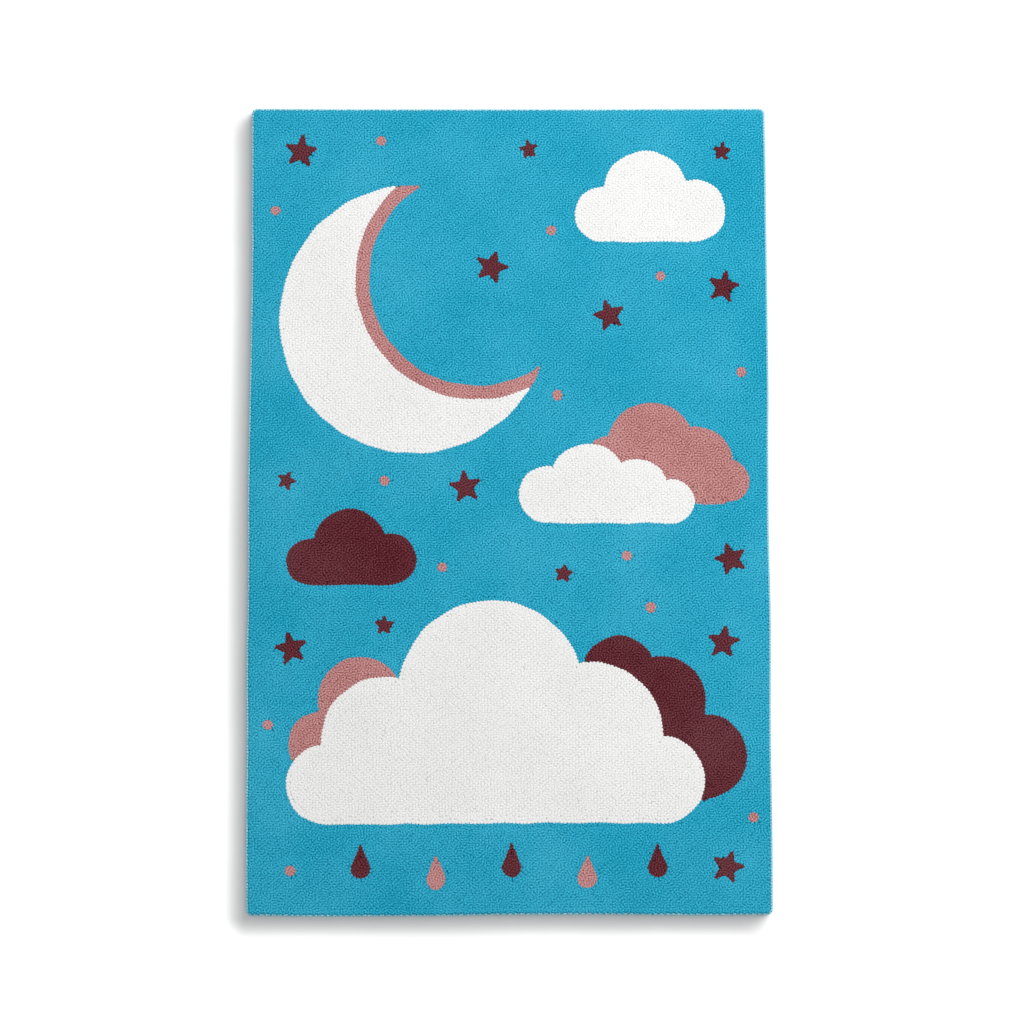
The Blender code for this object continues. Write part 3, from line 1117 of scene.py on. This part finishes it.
def whipping_tree():
    """Winds turns of yarn side by side along a closed line, round a core cord."""
    tree, source, result = new_tree(
        "Whipping",
        "GeometryNodeTree",
        inputs={"Geometry": "Geometry", "Turn": "Object", "Yarn": "Material", "Turns": 1,
                "Core radius": CORE_RADIUS, "Unevenness": TURN_UNEVENNESS, "Seed": 1},
        outputs={"Geometry": "Geometry"},
    )
    line = add_node(tree, "GeometryNodeMeshToCurve", Mesh=source["Geometry"])
    spots = add_node(
        tree, "GeometryNodeCurveToPoints", mode="COUNT", Curve=line, Count=source["Turns"]
    )
    face = add_node(tree, "FunctionNodeAlignRotationToVector", axis="Y", pivot_axis="Z",
                    Vector=spots.outputs["Tangent"])

    least = maths(tree, "SUBTRACT", 1.0, source["Unevenness"])
    swell = random_value(tree, "FLOAT", least, 1.0, source["Seed"])
    size = add_node(tree, "ShaderNodeCombineXYZ", X=swell, Y=1.0, Z=swell)
    turn = add_node(tree, "GeometryNodeObjectInfo", Object=source["Turn"]).outputs["Geometry"]
    wind = add_node(
        tree, "GeometryNodeInstanceOnPoints", Points=spots, Instance=turn, Rotation=face, Scale=size
    )
    turns = store_dye(tree, wind, maths(tree, "ADD", source["Seed"], SEED_STEP))

    section = add_node(tree, "GeometryNodeCurvePrimitiveCircle", Resolution=CORE_SIDES,
                       Radius=source["Core radius"])
    core = add_node(tree, "GeometryNodeCurveToMesh", Curve=line, Profile_Curve=section)
    core = store(tree, core, "loop_place", CORE_SHADE_PLACE, data_type="FLOAT_VECTOR")
    edge = add_node(tree, "GeometryNodeJoinGeometry", Geometry=core)
    feed(tree, turns, edge.inputs["Geometry"])
    finish_tree(tree, edge, source["Yarn"], result)
    return tree


EDGE_SEED = 50
EDGE_TONES = (0.150, 0.430, 0.530, 1.0), (0.350, 0.690, 0.790, 1.0)
edge_yarn = yarn_material("edge_yarn", *EDGE_TONES)
one_turn = new_object("one_turn", turn_mesh())
edge_line, edge_length = edge_guide(body_outline, edge_width / 2 - EDGE_BITE)
edge_values = {
    "Turn": one_turn,
    "Yarn": edge_yarn,
    "Turns": round(edge_length / TURN_SPACING),
    "Seed": EDGE_SEED,
}
whipped_edge = made_by_nodes("whipped_edge", edge_line, whipping_tree(), edge_values)
bpy.data.objects.remove(one_turn, do_unlink=True)
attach(whipped_edge, "root")
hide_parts("edge_binding")


# The studio. A plain white floor and even light from all round. A low row of lamps on the
# right, beyond the rug's head, throws its soft shadow on the floor, and a large high one on
# the same side lights the yarn. The camera stands over the rug, tipped a little.
FLOOR_SIZE = 60.0
FLOOR_DROP = 0.0004
FLOOR_WHITE = (0.86, 0.86, 0.86, 1.0)
ROOM_WHITE = (1.0, 1.0, 1.0, 1.0)
ROOM_STRENGTH = 0.54
LOW_NUMBER = 7
LOW_STRENGTH = 2.06
LOW_FADE = 0.5
LOW_SIDE = math.radians(43.5)
LOW_HALF_ROW = math.radians(31)
LOW_ELEVATION = math.radians(12.2)
LOW_SPREAD = math.radians(6.5)
LOW_DISTANCE = 5.0
HIGH_POWER = 356.0
HIGH_SIDE = math.radians(42)
HIGH_ELEVATION = math.radians(45)
HIGH_DISTANCE = 6.3
HIGH_SIZE = 2.8
CAMERA_DISTANCE = 4.40
CAMERA_TILT = math.radians(4.86)
CAMERA_LENS = 89.3
CAMERA_AIM = Vector((0.0057, -0.0078, 0.0))

floor_mesh = bpy.data.meshes.new("floor")
reach = FLOOR_SIZE / 2
floor_corners = ((-reach, -reach), (reach, -reach), (reach, reach), (-reach, reach))
floor_mesh.from_pydata([(x, y, -FLOOR_DROP) for x, y in floor_corners], [], [(0, 1, 2, 3)])
floor = new_object("floor", floor_mesh)
floor_paint, _, floor_shader = matt_material("floor_paint", roughness=0.9, sheen=0, shine=0.2)
floor_shader.inputs["Base Color"].default_value = FLOOR_WHITE
floor.data.materials.append(floor_paint)


def aimed(name, data, target, way, distance):
    """Puts a lamp or a camera at a distance from its target, which it points at."""
    holder = bpy.data.objects.new(name, data)
    holder.location = target + distance * way
    holder.rotation_mode = "QUATERNION"
    holder.rotation_quaternion = way.to_track_quat("Z", "Y")
    bpy.context.scene.collection.objects.link(holder)
    return holder


def add_lamp(name, kind, side, elevation, distance, lit, **settings):
    """A lamp beyond the head on the right that lights only the objects listed."""
    lamp = bpy.data.lights.new(name, kind)
    for key, value in settings.items():
        setattr(lamp, key, value)
    way = Vector((math.sin(side) * math.cos(elevation),
                  math.cos(side) * math.cos(elevation),
                  math.sin(elevation)))
    receivers = bpy.data.collections.new(name + "_receivers")
    for receiver in lit:
        receivers.objects.link(receiver)
    holder = aimed(name, lamp, Vector(), way, distance)
    holder.light_linking.receiver_collection = receivers


for number, part in enumerate(np.linspace(-1, 1, LOW_NUMBER)):
    side = LOW_SIDE + LOW_HALF_ROW * part
    add_lamp(f"low_lamp_{number + 1}", "SUN", side, LOW_ELEVATION, LOW_DISTANCE, [floor],
             energy=LOW_STRENGTH * (1 - LOW_FADE * part * part), angle=LOW_SPREAD)
add_lamp("high_lamp", "AREA", HIGH_SIDE, HIGH_ELEVATION, HIGH_DISTANCE,
         [backing, *pile, whipped_edge], energy=HIGH_POWER, shape="DISK", size=HIGH_SIZE)

world = bpy.data.worlds.new("studio")
world.use_nodes = True
background = world.node_tree.nodes["Background"]
background.inputs["Color"].default_value = ROOM_WHITE
background.inputs["Strength"].default_value = ROOM_STRENGTH
bpy.context.scene.world = world
bpy.context.scene.view_settings.view_transform = "Standard"

camera_way = Vector((0.0, -math.sin(CAMERA_TILT), math.cos(CAMERA_TILT)))
camera = aimed("camera", bpy.data.cameras.new("camera"), CAMERA_AIM, camera_way, CAMERA_DISTANCE)
camera.data.lens = CAMERA_LENS
bpy.context.scene.camera = camera
